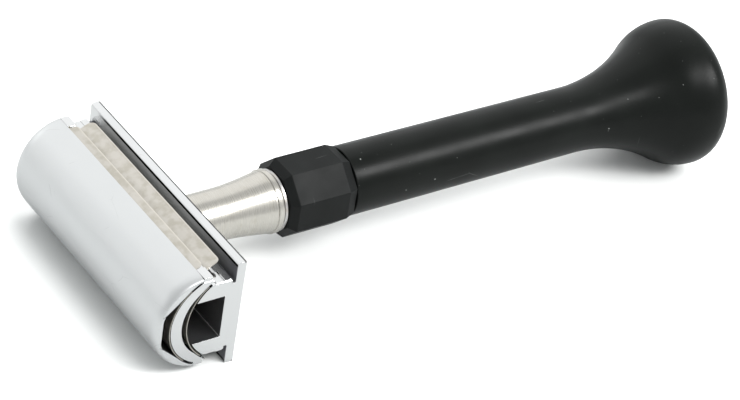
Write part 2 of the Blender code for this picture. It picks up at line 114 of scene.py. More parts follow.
def soft_box(name, place, width, height, power):
    """A rectangular area light at place, in metres, that faces the razor."""
    data = bpy.data.lights.new(name, "AREA")
    data.shape = "RECTANGLE"
    data.size = width
    data.size_y = height
    data.energy = power
    place = np.array(place)
    back = place / np.linalg.norm(place)
    right = np.cross((0.0, 0.0, 1.0), back)
    right /= np.linalg.norm(right)
    turned_to = np.stack([right, np.cross(back, right), back], axis=1)
    lamp = bpy.data.objects.new(name, data)
    lamp.matrix_world = Matrix.Translation(place) @ Matrix(turned_to.tolist()).to_4x4()
    scene.collection.objects.link(lamp)
    return lamp


far_box = soft_box("far_box", (0.12, 0.95, 0.82), 2.0, 1.5, 6.6)
low_box = soft_box("low_box", (-0.90, 1.00, 0.42), 1.8, 0.7, 2.2)
soft_box("streak_box", (0.62, -0.64, 0.78), 0.40, 0.36, 8.0)
soft_box("flare_box", (0.08, -0.60, 0.86), 0.50, 0.32, 4.5)
floor_wash = soft_box("floor_wash", (0.42, 0.24, 1.28), 2.2, 1.8, 27.0)
floor_wash.visible_glossy = False
far_box.visible_diffuse = low_box.visible_diffuse = False

world = bpy.data.worlds.new("studio")
world.use_nodes = True
world.node_tree.nodes["Background"].inputs["Color"].default_value = (0.93, 0.95, 0.96, 1.0)
world.node_tree.nodes["Background"].inputs["Strength"].default_value = 0.75
scene.world = world

# ---- Cap ------------------------------------------------------------------------------------------------
# The half-round bar in front, satin-chromed outside. It is hollow underneath: a flat floor, two slanted
# walls, and a curved seat along each side that presses on the upper blade. Its hollow is painted dark grey,
# as painted shade.
cap_low, cap_high = span("cap")
HALF_LENGTH = cap_high[1]
CAP_CENTRE_X = -6.4
CAP_DEPTH = CAP_CENTRE_X - cap_low[0]
CAP_HALF_HEIGHT = cap_high[2]
CAP_TIP_X = cap_high[0]
CAP_END_RUN = 1.9           # rounding of the end faces, along the head
CAP_END_DROP = 0.8          # and towards the axis
CAP_FLOOR_X = -13.0
CAP_FLOOR_HALF = 2.7
UPPER_BEND_X = -3.55
LOWER_BEND_X = -0.7
BEND = 8.2
BLADE_THICKNESS = 0.1
SEAT_GAP = 0.15
CAP_SEAT_START = 5.6
CAP_SEAT_END = 7.55
FLOOR_SHARE = 0.3           # of the way out along the cap's inside, where the floor ends
WALL_SHARE = 0.65           # and where the wall ends
LIP_SHARE = 0.999           # past which the inside has reached the tip of the lip
PLAIN_HALF = 18.0           # of the head's half-length, where nothing is rounded


def add_node(tree, kind, values=None, **settings):
    """A shader node with its settings made, its sockets filled and its links drawn."""
    made = tree.nodes.new(kind)
    for name, value in settings.items():
        setattr(made, name, value)
    for name, value in (values or {}).items():
        if isinstance(value, bpy.types.NodeSocket):
            tree.links.new(value, made.inputs[name])
        else:
            made.inputs[name].default_value = value
    return made


def feed(node, socket, value):
    """Draws the link from a value's socket into one of the node's own."""
    node.id_data.links.new(value, node.inputs[socket])


def node_group(name, inputs, outputs):
    """An empty node group with those sockets, its input node and its output node."""
    group = bpy.data.node_groups.new(name, "ShaderNodeTree")
    for direction, sockets in (("INPUT", inputs), ("OUTPUT", outputs)):
        for socket, kind in sockets.items():
            group.interface.new_socket(name=socket, in_out=direction, socket_type="NodeSocket" + kind)
    return group, group.nodes.new("NodeGroupInput"), group.nodes.new("NodeGroupOutput")


def razor_coordinates(tree, stretch=(1.0, 1.0, 1.0)):
    """Coordinates in mm in the razor's own frame, and stretched along its axes."""
    place = add_node(tree, "ShaderNodeTexCoord").outputs["Object"]
    home = Matrix.Rotation(TILT, 3, "Y") @ Matrix.Diagonal(ORIGIN / MM).to_3x3()
    moved = -np.array([sum(row) for row in home])
    upright = {"Vector": place, "Location": moved, "Rotation": (0.0, TILT, 0.0), "Scale": (1 / MM,) * 3}
    own = add_node(tree, "ShaderNodeMapping", upright).outputs[0]
    return add_node(tree, "ShaderNodeMapping", {"Vector": own, "Scale": stretch}).outputs[0]


def start_finish(name, colour, metallic, roughness):
    """A new material with a Principled shader. Returns the material, its node tree and the shader."""
    finish = bpy.data.materials.new(name)
    finish.use_nodes = True
    shader = finish.node_tree.nodes["Principled BSDF"]
    shader.inputs["Base Color"].default_value = (*colour, 1.0)
    shader.inputs["Metallic"].default_value = metallic
    shader.inputs["Roughness"].default_value = roughness
    return finish, finish.node_tree, shader


def mix_colour(tree, factor, low, high):
    """The colour low where factor is 0 and high where it is 1."""
    values = {"Factor": factor}
    for index, colour in ((6, low), (7, high)):
        values[index] = colour if isinstance(colour, bpy.types.NodeSocket) else (*colour, 1.0)
    return add_node(tree, "ShaderNodeMix", values, data_type="RGBA").outputs[2]


def mix_value(tree, factor, low, high):
    """The value low where factor is 0 and high where it is 1."""
    return add_node(tree, "ShaderNodeMix", {0: factor, 2: low, 3: high}).outputs[0]


def spread(tree, value, low, high, out_low=0.0, out_high=1.0):
    """A value's stretch from low to high, carried onto out_low to out_high and held there."""
    ends = {"Value": value, "From Min": low, "From Max": high, "To Min": out_low, "To Max": out_high}
    return add_node(tree, "ShaderNodeMapRange", ends, clamp=True).outputs[0]


def arithmetic(tree, operation, first, second):
    """One sum on two values or sockets."""
    return add_node(tree, "ShaderNodeMath", {0: first, 1: second}, operation=operation).outputs[0]


def noise(tree, place, scale, detail=2.0):
    """Cloudy noise from 0 to 1."""
    values = {"Vector": place, "Scale": scale, "Detail": detail}
    return add_node(tree, "ShaderNodeTexNoise", values).outputs["Fac"]


# wiping_marks: what a cloth leaves on plated metal. Long cloudy streaks under a fine grain.
wiping, given, result = node_group(
    "wiping_marks", {"Vector": "Vector", "Size": "Float", "Smooth": "Float", "Dull": "Float"},
    {"Roughness": "Float", "Height": "Float"},
)
size = arithmetic(wiping, "DIVIDE", 1.0, given.outputs["Size"])
cloud = noise(wiping, given.outputs["Vector"], size, 4.0)
grain = noise(wiping, given.outputs["Vector"], arithmetic(wiping, "MULTIPLY", size, 40.0))
cloud_part = arithmetic(wiping, "MULTIPLY", cloud, 0.75)
both = arithmetic(wiping, "ADD", cloud_part, arithmetic(wiping, "MULTIPLY", grain, 0.25))
wiped = spread(wiping, both, 0.36, 0.64, given.outputs["Smooth"], given.outputs["Dull"])
feed(result, "Roughness", wiped)
feed(result, "Height", grain)

# hairlines: stray scratches. The edges between warped cells, broken up so that only short runs are left.
hairlines, given, result = node_group(
    "hairlines", {"Vector": "Vector", "Size": "Float", "Width": "Float", "Share": "Float"}, {"Mask": "Float"}
)
size = arithmetic(hairlines, "DIVIDE", 1.0, given.outputs["Size"])
place = given.outputs["Vector"]
bent = add_node(hairlines, "ShaderNodeTexNoise", {"Vector": place, "Scale": size}).outputs["Color"]
warp = {0: bent, 1: (1.5, 1.5, 1.5), 2: place}
warped = add_node(hairlines, "ShaderNodeVectorMath", warp, operation="MULTIPLY_ADD").outputs[0]
cracks = {"Vector": warped, "Scale": size}
cells = add_node(hairlines, "ShaderNodeTexVoronoi", cracks, feature="DISTANCE_TO_EDGE")
line = spread(hairlines, cells.outputs["Distance"], 0.0, given.outputs["Width"], 1.0, 0.0)
patches = noise(hairlines, place, arithmetic(hairlines, "MULTIPLY", size, 1.7))
edge = arithmetic(hairlines, "SUBTRACT", 1.0, given.outputs["Share"])
kept = spread(hairlines, patches, edge, arithmetic(hairlines, "ADD", edge, 0.05))
feed(result, "Mask", arithmetic(hairlines, "MULTIPLY", line, kept))


def use_group(tree, group, values):
    """A node group placed in a tree with its own values."""
    return add_node(tree, "ShaderNodeGroup", values, node_tree=group)


def bump(tree, shader, height, strength, distance):
    """A height in mm units, laid on the surface through a Bump node."""
    values = {"Height": height, "Strength": strength, "Distance": distance * MM}
    feed(shader, "Normal", add_node(tree, "ShaderNodeBump", values).outputs[0])


def chrome_finish(name, colour, smooth, dull, cloud_size):
    """Plated metal: wiping marks and hairlines in its gloss, and painted shade, a dark grey, where the
    hollow attribute is 1.
    """
    finish, tree, shader = start_finish(name, colour, 1.0, smooth)
    own = razor_coordinates(tree, (1.0, 0.45, 1.0))
    marks = use_group(tree, wiping, {"Vector": own, "Size": cloud_size, "Smooth": smooth, "Dull": dull})
    lines = use_group(tree, hairlines, {"Vector": own, "Size": 5.0, "Width": 0.006, "Share": 0.42})
    scratched = arithmetic(tree, "MULTIPLY_ADD", lines.outputs["Mask"], 0.10)
    tree.links.new(marks.outputs["Roughness"], scratched.node.inputs[2])
    hollow = add_node(tree, "ShaderNodeAttribute", attribute_name="hollow").outputs["Fac"]
    feed(shader, "Roughness", mix_value(tree, hollow, scratched, 0.45))
    tone = noise(tree, own, 0.12)
    shaded = mix_colour(tree, spread(tree, tone, 0.3, 0.7), [c * 0.96 for c in colour], colour)
    lined = mix_colour(tree, lines.outputs["Mask"], shaded, [c * 0.86 for c in colour])
    # painted shade: the colour turns dark grey where the hollow attribute is 1
    feed(shader, "Base Color", mix_colour(tree, hollow, lined, (0.24, 0.24, 0.25)))
    bump(tree, shader, marks.outputs["Height"], 0.12, 0.01)
    return finish


def grid_faces(rows, columns, first=0, wrap_rows=False, wrap_columns=False):
    """Quads between neighbours on a grid of points numbered row by row, as an array of corner numbers."""
    numbers = first + np.arange(rows * columns).reshape(rows, columns)
    if wrap_rows:
        numbers = np.vstack([numbers, numbers[:1]])
    if wrap_columns:
        numbers = np.hstack([numbers, numbers[:, :1]])
    corners = [numbers[:-1, :-1], numbers[1:, :-1], numbers[1:, 1:], numbers[:-1, 1:]]
    return np.stack(corners, axis=-1).reshape(-1, 4)


def make_piece(name, points, faces, finish, smooth_angle=30.0):
    """A closed mesh from points in the razor's frame, faces outwards and smooth but for its corners."""
    mesh = bpy.data.meshes.new(name)
    mesh.from_pydata(to_row(points).tolist(), [], [list(face) for face in faces])
    shell = bmesh.new()
    shell.from_mesh(mesh)
    bmesh.ops.remove_doubles(shell, verts=shell.verts, dist=2e-7)
    bmesh.ops.dissolve_degenerate(shell, edges=shell.edges, dist=1e-8)
    bmesh.ops.recalc_face_normals(shell, faces=shell.faces)
    shell.to_mesh(mesh)
    shell.free()
    mesh.shade_smooth()
    mesh.set_sharp_from_angle(angle=math.radians(smooth_angle))
    mesh.materials.append(finish)
    piece = bpy.data.objects.new(name, mesh)
    scene.collection.objects.link(piece)
    return piece


def mark_painted_shade(piece, inside):
    """Stores 1 in the hollow attribute of the vertices that lie inside, and 0 elsewhere. The finish paints
    shade where it is 1.
    """
    layer = piece.data.attributes.new("hollow", "FLOAT", "POINT")
    layer.data.foreach_set("value", inside(*own_points(piece.data).T).astype(float))


def fit(piece, node, body):
    """The piece stands for a CAD node, which it hides, and moves with a body."""
    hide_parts(node)
    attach(piece, body)


def soften(piece, width, segments=2, angle=32.0):
    """Rounds the piece's sharp edges over a width in mm."""
    edge = piece.modifiers.new("soft_edges", "BEVEL")
    edge.width = width * MM
    edge.segments = segments
    edge.limit_method = "ANGLE"
    edge.angle_limit = math.radians(angle)
    edge.use_clamp_overlap = True
    weights = piece.modifiers.new("even_normals", "WEIGHTED_NORMAL")
    weights.keep_sharp = True


def bent_bar(ys, steps, front, rear, hole=None, reach=None):
    """Points and faces of a bar that is bent about the y direction and alike above and below.

    Column j stands at ys[j]. Down it the parameter runs from the hole's edge, hole(y), out to reach(y),
    in the shares given by steps. front and rear give x and z for a parameter and a y. The lower half
    mirrors z.
    """
    inner = np.zeros_like(ys) if hole is None else hole(ys)
    outer = np.ones_like(ys) if reach is None else reach(ys)
    along = inner[:, None] + (outer - inner)[:, None] * steps[None, :]
    beside = np.broadcast_to(ys[:, None], along.shape)
    skins = []
    for face in (front, rear):
        x, z = face(along, beside)
        skins.append(np.stack([x, beside, z], axis=-1))
    upper = np.stack(skins)
    rows, columns = along.shape
    numbers = np.arange(2 * rows * columns).reshape(2, rows, columns)
    faces = [grid_faces(rows, columns, 0), grid_faces(rows, columns, rows * columns)]
    for line in (numbers[:, 0, :], numbers[:, -1, :], numbers[:, :, -1]):
        faces.append(np.stack([line[0, :-1], line[0, 1:], line[1, 1:], line[1, :-1]], axis=-1))
    lip = numbers[:, :, 0]
    cut = np.stack([lip[0, :-1], lip[0, 1:], lip[1, 1:], lip[1, :-1]], axis=-1)
    faces.append(cut[(inner[:-1] > 0) | (inner[1:] > 0)])
    half = np.concatenate(faces)
    lower = upper * (1.0, 1.0, -1.0)
    points = np.concatenate([upper.reshape(-1, 3), lower.reshape(-1, 3)])
    return points, np.concatenate([half, half + 2 * rows * columns])


def rounded_end(y, run):
    """Near either end of the head, a quarter ellipse run mm long: 0 where it starts, 1 at the end."""
    past = np.clip((np.abs(y) - (HALF_LENGTH - run)) / run, 0.0, 1.0)
    return 1.0 - np.sqrt(1.0 - past**2)


def cap_outside(share, y):
    """Half-ellipse from the middle (share 0) to the tip of the lip (share 1), drawn in at the ends."""
    turn = share * math.acos((CAP_CENTRE_X - CAP_TIP_X) / CAP_DEPTH)
    inset = CAP_END_DROP * (1.0 - 0.5 * share**2) * rounded_end(y, CAP_END_RUN)
    return CAP_CENTRE_X - (CAP_DEPTH - inset) * np.cos(turn), (CAP_HALF_HEIGHT - inset) * np.sin(turn)


def seat_x(z, bend_x, radius):
    """The x of an arc about (bend_x, 0) at the height z, on its front side."""
    return bend_x - np.sqrt(radius**2 - z**2)


def cap_inside(share, y):
    """Flat floor, slanted wall, then the curved seat, joined at fixed shares of the way out."""
    over = BEND + BLADE_THICKNESS / 2 + SEAT_GAP
    stops = (0.0, FLOOR_SHARE, WALL_SHARE, 1.0)
    z = np.interp(share, stops, (0.0, CAP_FLOOR_HALF, CAP_SEAT_START, CAP_SEAT_END))
    wall_top = seat_x(CAP_SEAT_START, UPPER_BEND_X, over)
    wall = np.interp(share, (FLOOR_SHARE, WALL_SHARE), (CAP_FLOOR_X, wall_top))
    x = np.where(share <= WALL_SHARE, wall, seat_x(z, UPPER_BEND_X, over))
    return np.where(share >= LIP_SHARE, CAP_TIP_X, x), z


def end_columns(edge, count=7):
    """Places along the head, close together over a rounded edge of that radius at each end."""
    turn = np.linspace(0.0, math.pi / 2, count)
    curve = HALF_LENGTH - edge + edge * np.sin(turn)
    return np.concatenate([-curve[::-1], np.linspace(-PLAIN_HALF, PLAIN_HALF, 9), curve])


satin_chrome = chrome_finish("satin_chrome_finish", (0.62, 0.63, 0.63), 0.36, 0.46, 9.0)
shares = np.unique(np.concatenate([
    np.linspace(0.0, WALL_SHARE, 40), np.linspace(WALL_SHARE, 0.985, 20), (FLOOR_SHARE, LIP_SHARE, 1.0),
]))
cap_points, cap_faces = bent_bar(end_columns(CAP_END_RUN, 13), shares, cap_outside, cap_inside)
cap_shell = make_piece("cap_shell", cap_points, cap_faces, satin_chrome)


def in_cap_hollow(x, y, z):
    """On the floor, the walls or the seats, short of the end faces and of the lips."""
    share = np.linspace(0.0, 0.99, 60)
    inner_x, inner_z = cap_inside(share, 0.0)
    behind = x > np.interp(np.abs(z), inner_z, inner_x) - 0.05
    return behind & (np.abs(y) < HALF_LENGTH - 0.05) & (np.abs(z) < CAP_SEAT_END - 0.1)


# painted shade: the cap's floor, walls and seats are coloured dark grey
mark_painted_shade(cap_shell, in_cap_hollow)
soften(cap_shell, 0.08)
fit(cap_shell, "cap", "cap")

# ---- Stud -----------------------------------------------------------------------------------------------
# The steel stud brazed to the floor of the cap's hollow, with a rolled thread of 0.8 mm pitch that the
# ferrule screws on. Its foot is tapered, and the thread runs out below it.
stud_low, stud_high = span("cap_stud")
STUD_RADIUS = 2.4
STUD_FOOT_RADIUS = 3.1
STUD_FOOT_FRONT_RADIUS = 2.5
STUD_FOOT_REAR_X = -12.05
STUD_POINT = 0.5
THREAD_PITCH = 0.8
THREAD_DEPTH = 0.36
THREAD_START_X = -9.5
THREAD_AROUND = 48
ROWS_PER_PITCH = 10


def turned_points(x, radius, around, y=0.0):
    """A profile (x, radius) carried round the handle's axis, or round a line beside it at y."""
    turn = np.linspace(0.0, 2 * math.pi, around, endpoint=False)
    radius = np.asarray(radius).reshape(len(x), -1)
    x, radius, turn = np.broadcast_arrays(np.asarray(x)[:, None], radius, turn)
    return np.stack([x, y + radius * np.cos(turn), radius * np.sin(turn)], axis=-1)


def turned_piece(name, profile, finish, around=96, y=0.0, smooth_angle=30.0):
    """A closed piece from (x, radius) points that start and end on the axis, or that close on themselves."""
    x, radius = np.array(profile, float).T
    points = turned_points(x, radius, around, y)
    closed = radius[0] > 0 or radius[-1] > 0
    faces = grid_faces(len(x), around, wrap_rows=closed, wrap_columns=True)
    return make_piece(name, points.reshape(-1, 3), faces, finish, smooth_angle)


def steel_finish(name, colour, smooth, dull):
    """Bare steel: fine drawn streaks along the handle and a faint brown cast in the hollows of its grain."""
    finish, tree, shader = start_finish(name, colour, 1.0, smooth)
    own = razor_coordinates(tree, (0.3, 1.0, 1.0))
    marks = use_group(tree, wiping, {"Vector": own, "Size": 2.0, "Smooth": smooth, "Dull": dull})
    feed(shader, "Roughness", marks.outputs["Roughness"])
    stain = spread(tree, noise(tree, own, 0.8, 5.0), 0.5, 0.75)
    browner = [colour[0] * 0.90, colour[1] * 0.84, colour[2] * 0.76]
    feed(shader, "Base Color", mix_colour(tree, stain, colour, browner))
    bump(tree, shader, marks.outputs["Height"], 0.2, 0.01)
    return finish


plain_steel = steel_finish("plain_steel_finish", (0.52, 0.51, 0.50), 0.28, 0.42)


def threaded(x, turn):
    """Radius of a V thread: its depth follows a triangle wave that advances one pitch for each turn."""
    phase = (x / THREAD_PITCH - turn / (2 * math.pi)) % 1.0
    groove = np.clip(1.25 * (1.0 - np.abs(2.0 * phase - 1.0)) - 0.12, 0.0, 1.0)
    run_out = np.clip((x - THREAD_START_X) / THREAD_PITCH, 0.0, 1.0)
    point = np.clip(x - (stud_high[0] - STUD_POINT), 0.0, STUD_POINT)
    return STUD_RADIUS - THREAD_DEPTH * groove * run_out - point


turn = np.linspace(0.0, 2 * math.pi, THREAD_AROUND, endpoint=False)
rows = 1 + round((stud_high[0] - THREAD_START_X) / THREAD_PITCH * ROWS_PER_PITCH)
thread_x = np.linspace(THREAD_START_X, stud_high[0], rows)
thread_radius = threaded(thread_x[:, None], turn[None, :])
foot = np.array([
    (stud_low[0], 0.0), (stud_low[0], STUD_FOOT_FRONT_RADIUS - 0.1),
    (stud_low[0] + 0.1, STUD_FOOT_FRONT_RADIUS),
    (STUD_FOOT_REAR_X - 0.1, STUD_FOOT_RADIUS), (STUD_FOOT_REAR_X, STUD_FOOT_RADIUS - 0.1),
    (STUD_FOOT_REAR_X, STUD_RADIUS + 0.2), (STUD_FOOT_REAR_X + 0.2, STUD_RADIUS),
])
stud_x = np.concatenate([foot[:, 0], thread_x, thread_x[-1:]])
foot_radius = np.repeat(foot[:, 1:], THREAD_AROUND, axis=1)
stud_radius = np.vstack([foot_radius, thread_radius, np.zeros((1, THREAD_AROUND))])
stud_points = turned_points(stud_x, stud_radius, THREAD_AROUND)
stud_faces = grid_faces(len(stud_x), THREAD_AROUND, wrap_columns=True)
threaded_stud = make_piece("threaded_stud", stud_points.reshape(-1, 3), stud_faces, plain_steel, 40.0)
fit(threaded_stud, "cap_stud", "cap")

# ---- Pins -----------------------------------------------------------------------------------------------
# Two turned steel pins pressed into the cap's floor. They pass through both blades and the spacer and keep
# them square to the cap. Their ends are rounded so that a blade slips over them.
PIN_NOSE = 0.45


def rounded_rim(end_x, radius, edge):
    """Seven (x, radius) points round the rim of an end face at end_x, from its side to the face."""
    turns = np.linspace(0.0, math.pi / 2, 7)
    return [(end_x - edge + edge * math.sin(a), radius - edge + edge * math.cos(a)) for a in turns]


for side in ("near", "far"):
    pin_low, pin_high = span("cap_pin_" + side)
    pin_radius = (pin_high[2] - pin_low[2]) / 2
    profile = [(pin_low[0], 0.0), (pin_low[0], pin_radius)]
    profile += rounded_rim(pin_high[0], pin_radius, PIN_NOSE) + [(pin_high[0], 0.0)]
    pin = turned_piece("pin_" + side, profile, plain_steel, 48, (pin_low[1] + pin_high[1]) / 2)
    fit(pin, "cap_pin_" + side, "cap")

# ---- Blades ---------------------------------------------------------------------------------------------
# Two ordinary double-edge blades of rolled steel 0.1 mm thick, each bent round its seat. Both long edges are
# ground to a bevel, the corners are notched, and a long slot with three round holes takes the stud and pins.
EDGE_REACH = 11.0
TAB_REACH = 7.2
EDGE_HALF_LENGTH = 18.65
SLOT_HALF_WIDTH = 1.0
SLOT_HALF_LENGTH = 15.2
STUD_HOLE = 2.7
PIN_HOLE = 1.6
PIN_Y = 12.5
GROUND_WIDTH = 0.9
NOTCH_RADIUS = 0.9


def round_hole(y, centre, radius):
    """Half-height at y of a round hole about (centre, 0)."""
    return np.sqrt(np.clip(radius**2 - (np.abs(y) - centre) ** 2, 0.0, None))


def blade_hole(y):
    """Half-height of the blade's opening: the slot with its round ends, widened by the three holes."""
    ends = SLOT_HALF_LENGTH - SLOT_HALF_WIDTH
    slot = np.sqrt(np.clip(SLOT_HALF_WIDTH**2 - np.clip(np.abs(y) - ends, 0.0, None) ** 2, 0.0, None))
    return np.maximum.reduce([slot, round_hole(y, 0.0, STUD_HOLE), round_hole(y, PIN_Y, PIN_HOLE)])


def blade_reach(y):
    """Out to the cutting edge, then, past a rounded corner and a rounded notch, only out to the tab."""
    past = np.abs(y) - EDGE_HALF_LENGTH
    corner = np.clip(past + NOTCH_RADIUS, 0.0, NOTCH_RADIUS)
    edge = EDGE_REACH - NOTCH_RADIUS + np.sqrt(NOTCH_RADIUS**2 - corner**2)
    dip = np.clip(NOTCH_RADIUS - past, 0.0, NOTCH_RADIUS)
    tab = TAB_REACH + NOTCH_RADIUS - np.sqrt(NOTCH_RADIUS**2 - dip**2)
    return np.where(past <= 0, edge, tab)


def blade_columns():
    """Places along the blade, close together where its outline curves."""
    bow = np.cos(np.linspace(0.0, math.pi, 17))
    quarter = np.sin(np.linspace(0.0, math.pi / 2, 8))
    notch = EDGE_HALF_LENGTH
    half = [
        STUD_HOLE * bow, PIN_Y + PIN_HOLE * bow,
        SLOT_HALF_LENGTH - SLOT_HALF_WIDTH + SLOT_HALF_WIDTH * quarter,
        notch - NOTCH_RADIUS + NOTCH_RADIUS * quarter, notch + 0.001 + NOTCH_RADIUS * (1 - quarter),
        np.linspace(0.0, HALF_LENGTH, 31),
    ]
    half = np.concatenate(half)
    return np.unique(np.round(np.concatenate([half, -half]), 4))


def blade_face(bend_x, side):
    """One face of a blade bent about (bend_x, 0): an arc, half its thickness off the bend's radius."""
    def face(reach, y):
        ground = np.clip((EDGE_REACH - reach) / GROUND_WIDTH, 0.1, 1.0)
        radius = BEND + side * ground * BLADE_THICKNESS / 2
        return bend_x - radius * np.cos(reach / BEND), radius * np.sin(reach / BEND)
    return face


def blade_finish():
    """Rolled steel: fine streaks along the blade, a warm cast, and a brighter band at each cutting edge,
    partly its ground finish and partly a painted highlight.
    """
    colour = (0.53, 0.505, 0.46)
    finish, tree, shader = start_finish("blade_steel_finish", colour, 1.0, 0.4)
    own = razor_coordinates(tree, (1.0, 0.06, 1.0))
    streaks = use_group(tree, wiping, {"Vector": own, "Size": 1.2, "Smooth": 0.34, "Dull": 0.5})
    cloud = noise(tree, razor_coordinates(tree), 0.7, 6.0)
    warmer = mix_colour(tree, spread(tree, cloud, 0.42, 0.62), colour, (0.45, 0.425, 0.37))
    ground = add_node(tree, "ShaderNodeAttribute", attribute_name="ground").outputs["Fac"]
    feed(shader, "Base Color", mix_colour(tree, ground, warmer, (0.60, 0.57, 0.51)))
    feed(shader, "Roughness", mix_value(tree, ground, streaks.outputs["Roughness"], 0.34))
    bump(tree, shader, streaks.outputs["Height"], 0.25, 0.01)
    return finish


blade_steel = blade_finish()
steps = np.unique(np.concatenate([np.linspace(0.0, 0.9, 28), np.linspace(0.9, 1.0, 9)]))
for name, bend_x in (("upper_blade", UPPER_BEND_X), ("lower_blade", LOWER_BEND_X)):
    blade_points, blade_faces = bent_bar(
        blade_columns(), steps, blade_face(bend_x, 1), blade_face(bend_x, -1), blade_hole, blade_reach
    )
    blade = make_piece("bent_" + name, blade_points, blade_faces, blade_steel, 25.0)
    x, y, z = own_points(blade.data).T
    outward = BEND * np.arctan2(np.abs(z), bend_x - x)
    # the ground attribute marks the last fraction of a mm at each cutting edge, painted brighter: ground
    # finish and painted highlight
    layer = blade.data.attributes.new("ground", "FLOAT", "POINT")
    layer.data.foreach_set("value", np.clip((outward - EDGE_REACH + 0.2) / 0.1, 0.0, 1.0))
    fit(blade, name, name)

# ---- Spacer ---------------------------------------------------------------------------------------------
# The plated crescent between the blades. Its front bends the upper blade, and its sides press on the lower
# one. A small block at each corner fills the blades' notches, and three bores let the stud and pins through.
spacer_high = span("blade_spacer")[1]
SPACER_TIP = 7.2
SPACER_HOLLOW_X = -2.79
SPACER_HOLLOW_RADIUS = 6.96
CORNER_INNER_Y = 18.95
CORNER_INSET = 0.15         # from the end of the head
BLOCK_BOTTOM = 6.8
BLOCK_REAR_X = -5.4
SPACER_FRONT = BEND - BLADE_THICKNESS / 2 - SEAT_GAP
SPACER_SEAT = BEND + BLADE_THICKNESS / 2 + SEAT_GAP


def spacer_front(turn, y):
    """Arc under the upper blade, by its angle from the middle."""
    return UPPER_BEND_X - SPACER_FRONT * np.cos(turn), SPACER_FRONT * np.sin(turn)


def spacer_rear(turn, y):
    """At the same height as the front: the deeper of the hollow's arc and the lower blade's seat."""
    z = SPACER_FRONT * np.sin(turn)
    hollow = SPACER_HOLLOW_X - np.sqrt(np.clip(SPACER_HOLLOW_RADIUS**2 - z**2, 0.0, None))
    return np.minimum(hollow, seat_x(z, LOWER_BEND_X, SPACER_SEAT)), z


def spacer_bores(y):
    """Angle at which the three bores end on the spacer's front."""
    half = np.maximum(round_hole(y, 0.0, STUD_HOLE), round_hole(y, PIN_Y, PIN_HOLE))
    return np.arcsin(half / SPACER_FRONT)


def block(low, high):
    """Points and faces of a box from low to high."""
    corners = np.array(np.meshgrid(*zip(low, high), indexing="ij")).reshape(3, -1).T
    return corners, [[0, 1, 3, 2], [4, 6, 7, 5], [0, 4, 5, 1], [2, 3, 7, 6], [0, 2, 6, 4], [1, 5, 7, 3]]


polished_chrome = chrome_finish("polished_chrome_finish", (0.63, 0.635, 0.635), 0.07, 0.16, 7.0)
spacer_columns = np.unique(np.round(np.concatenate([
    blade_columns()[np.abs(blade_columns()) < PLAIN_HALF], end_columns(CORNER_INSET, 4)]), 4))
spacer_turn = math.asin(SPACER_TIP / SPACER_FRONT)
spacer_points, spacer_faces = bent_bar(
    spacer_columns, np.linspace(0.0, 1.0, 41), spacer_front, spacer_rear, spacer_bores,
    lambda y: np.full_like(y, spacer_turn),
)
spacer_faces = spacer_faces.tolist()
for sign_y in (-1, 1):
    for sign_z in (-1, 1):
        ends_y = sorted((sign_y * CORNER_INNER_Y, sign_y * (HALF_LENGTH - CORNER_INSET)))
        ends_z = sorted((sign_z * BLOCK_BOTTOM, sign_z * spacer_high[2]))
        block_points, block_faces = block(
            (CAP_TIP_X + SEAT_GAP, ends_y[0], ends_z[0]), (BLOCK_REAR_X, ends_y[1], ends_z[1]))
        spacer_faces += [[corner + len(spacer_points) for corner in face] for face in block_faces]
        spacer_points = np.concatenate([spacer_points, block_points])
spacer = make_piece("crescent_spacer", spacer_points, spacer_faces, polished_chrome)


def in_spacer_hollow(x, y, z):
    """On the hollow rear face, well short of the ends."""
    deep = np.hypot(x - SPACER_HOLLOW_X, z) < SPACER_HOLLOW_RADIUS + 0.02
    return deep & (np.abs(y) < HALF_LENGTH - 0.3) & (np.abs(z) < 6.0)


# painted shade: the spacer's hollow rear face is coloured dark grey
mark_painted_shade(spacer, in_spacer_hollow)
soften(spacer, 0.06)
fit(spacer, "blade_spacer", "blade_spacer")

# ---- Guard ----------------------------------------------------------------------------------------------
# The polished body that everything bears on: a back plate, and two limbs with an open rinse channel between
# them, each parted from the plate by a narrow groove. A round boss with the stud's hole stands on the
# channel's floor, and a shallow stepped lug at each corner holds the lower blade square.
guard_high = span("guard_body")[1]
PLATE_THICKNESS = 1.5
PLATE_HALF_HEIGHT = guard_high[2]
PLATE_FRONT_EDGE = 0.45
PLATE_REAR_EDGE = 0.15
GROOVE_WIDTH = 0.5
GROOVE_FLOOR = 5.8
LIMB_HALF_HEIGHT = 6.33
CHANNEL_HALF_HEIGHT = 3.74
CHANNEL_FLOOR_X = -2.95
GUARD_ARC = BEND - BLADE_THICKNESS / 2 - 2 * SEAT_GAP
LUG = {"front_x": -4.7, "rear_x": -2.1, "top": 6.45, "ridge_x": -3.3, "ridge_top": 6.6}
BOSS_RADIUS = 3.4
BOSS_HEIGHT = 0.5


